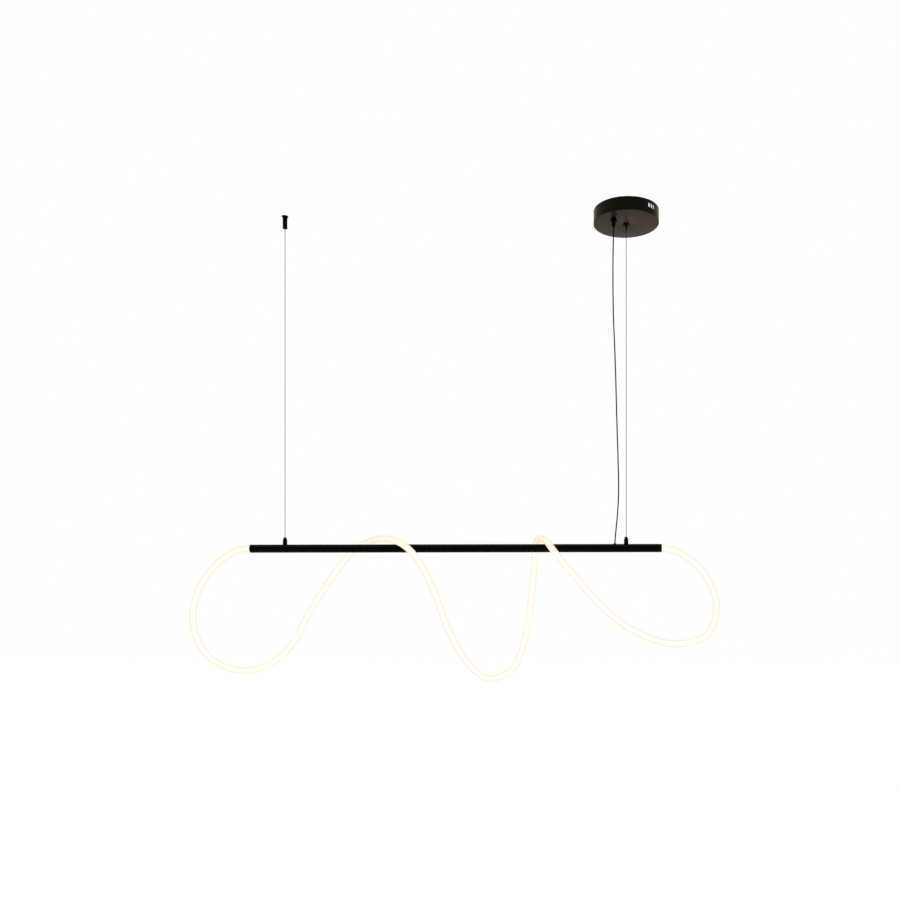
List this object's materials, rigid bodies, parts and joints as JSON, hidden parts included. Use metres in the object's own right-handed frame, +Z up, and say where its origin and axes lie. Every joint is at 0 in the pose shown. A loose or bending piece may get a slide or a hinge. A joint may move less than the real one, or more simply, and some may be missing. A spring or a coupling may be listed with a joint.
{
  "type": "linear LED pendant lamp",
  "caption": "Slim black bar hung level on steel wires from a round canopy, with a flexible glowing silicone light tube looping over it from end to end.",
  "frame": {"origin": "middle of the mounting plate's top face, on the ceiling plane, above the right wire", "axes": "+X along the bar to its right end, +Y to the back, +Z up; the lamp hangs below the origin"},
  "size_m": [1.3013, 0.157, 1.1323],
  "materials": {
    "black_metal": "satin black powder coat",
    "canopy_metal": "satin black powder coat, slightly warm",
    "black_plastic": "moulded nylon, fine matt",
    "black_cable": "smooth black PVC jacket",
    "steel": "bare stranded steel rope",
    "zinc_steel": "zinc-plated",
    "brass": "turned, bare",
    "glowing_silicone": "milky translucent silicone, lit from inside",
    "led_board": "white flexible circuit board",
    "driver_plastic": "white moulded casing",
    "circuit_board": "green solder mask",
    "transformer_tape": "yellow winding tape",
    "capacitor_sleeve": "shrink sleeve",
    "terminal_plastic": "natural nylon",
    "brown_lead": "brown PVC insulation",
    "blue_lead": "blue PVC insulation"
  },
  "bodies": {
    "ceiling_mount": {"cable_gland_body": "black_plastic", "cable_gland_boot": "black_plastic", "cable_gland_nut": "black_plastic", "canopy_cable_end": "black_cable", "canopy_retaining_nut": "black_metal", "canopy_shell": "canopy_metal", "canopy_stud": "black_metal", "driver_board": "circuit_board", "driver_capacitor": "capacitor_sleeve", "driver_case": "driver_plastic", "driver_cover": "driver_plastic", "driver_transformer": "transformer_tape", "earth_screw": "zinc_steel", "earth_washer": "brass", "left_anchor_base": "black_metal", "left_anchor_cap": "black_metal", "live_lead": "brown_lead", "mounting_plate": "zinc_steel", "neutral_lead": "blue_lead", "terminal_block": "terminal_plastic", "terminal_screw_1": "brass", "terminal_screw_2": "brass", "terminal_screw_3": "brass"},
    "right_swivel": {"right_swivel_ball": "black_metal"},
    "right_hanger": {"right_wire_ferrule": "black_metal", "right_wire": "steel", "power_cable": "black_cable"},
    "right_grip": {"right_collet": "brass"},
    "left_swivel": {"left_swivel_ball": "black_metal"},
    "left_hanger": {"left_wire_ferrule": "black_metal", "left_wire": "steel"},
    "left_grip": {"left_collet": "brass"},
    "right_nozzle": {"right_release_nozzle": "black_metal"},
    "left_nozzle": {"left_release_nozzle": "black_metal"},
    "lamp_bar": {"bar_cable_end": "black_cable", "bar_tube": "black_metal", "cable_grommet": "black_plastic", "led_strip": "led_board", "left_bar_lead": "black_cable", "left_end_sleeve": "black_metal", "left_gripper_body": "black_metal", "left_gripper_nut": "zinc_steel", "left_gripper_spring": "steel", "left_grub_screw": "zinc_steel", "light_tube": "glowing_silicone", "right_bar_lead": "black_cable", "right_end_sleeve": "black_metal", "right_gripper_body": "black_metal", "right_gripper_nut": "zinc_steel", "right_gripper_spring": "steel", "right_grub_screw": "zinc_steel", "splice_connector": "terminal_plastic"}
  },
  "joints": [
    {"name": "swing_front_back", "type": "hinge", "parent": "ceiling_mount", "child": "right_swivel", "pos_m": [0, 0, -0.026], "axis": [1, 0, 0], "range_deg": [-6, 6]},
    {"name": "sway_sideways", "type": "hinge", "parent": "right_swivel", "child": "right_hanger", "pos_m": [0, 0, -0.026], "axis": [0, 1, 0], "range_deg": [-5, 5]},
    {"name": "height_adjust", "type": "slide", "parent": "right_hanger", "child": "right_grip", "axis": [0, 0, 1], "range_m": [0, 0.4], "deforming": ["right_wire", "left_wire", "power_cable"]},
    {"name": "bar_levelling", "type": "hinge", "parent": "right_grip", "child": "lamp_bar", "pos_m": [0, 0, -0.7935], "axis": [0, 1, 0], "range_deg": [-5, 5]},
    {"name": "left_swing", "type": "hinge", "parent": "ceiling_mount", "child": "left_swivel", "pos_m": [-0.83, 0, -0.026], "axis": [1, 0, 0], "range_deg": [-6, 6]},
    {"name": "left_sway", "type": "hinge", "parent": "left_swivel", "child": "left_hanger", "pos_m": [-0.83, 0, -0.026], "axis": [0, 1, 0], "range_deg": [-5, 5]},
    {"name": "left_grip_turn", "type": "hinge", "parent": "lamp_bar", "child": "left_grip", "pos_m": [-0.83, 0, -0.7935], "axis": [0, 1, 0], "range_deg": [-5, 5]},
    {"name": "right_release", "type": "slide", "parent": "lamp_bar", "child": "right_nozzle", "axis": [0, 0, -1], "range_m": [0, 0.002], "stiffness_N_per_m": 400, "springref_m": -0.003, "deforming": ["right_gripper_spring"]},
    {"name": "left_release", "type": "slide", "parent": "lamp_bar", "child": "left_nozzle", "axis": [0, 0, -1], "range_m": [0, 0.002], "stiffness_N_per_m": 400, "springref_m": -0.003, "deforming": ["left_gripper_spring"]}
  ],
  "couplings": [
    {"joint": "bar_levelling", "follows": "sway_sideways", "ratio": -1},
    {"joint": "left_swing", "follows": "swing_front_back", "ratio": 1},
    {"joint": "left_sway", "follows": "sway_sideways", "ratio": 1},
    {"joint": "left_grip_turn", "follows": "sway_sideways", "ratio": 1}
  ]
}
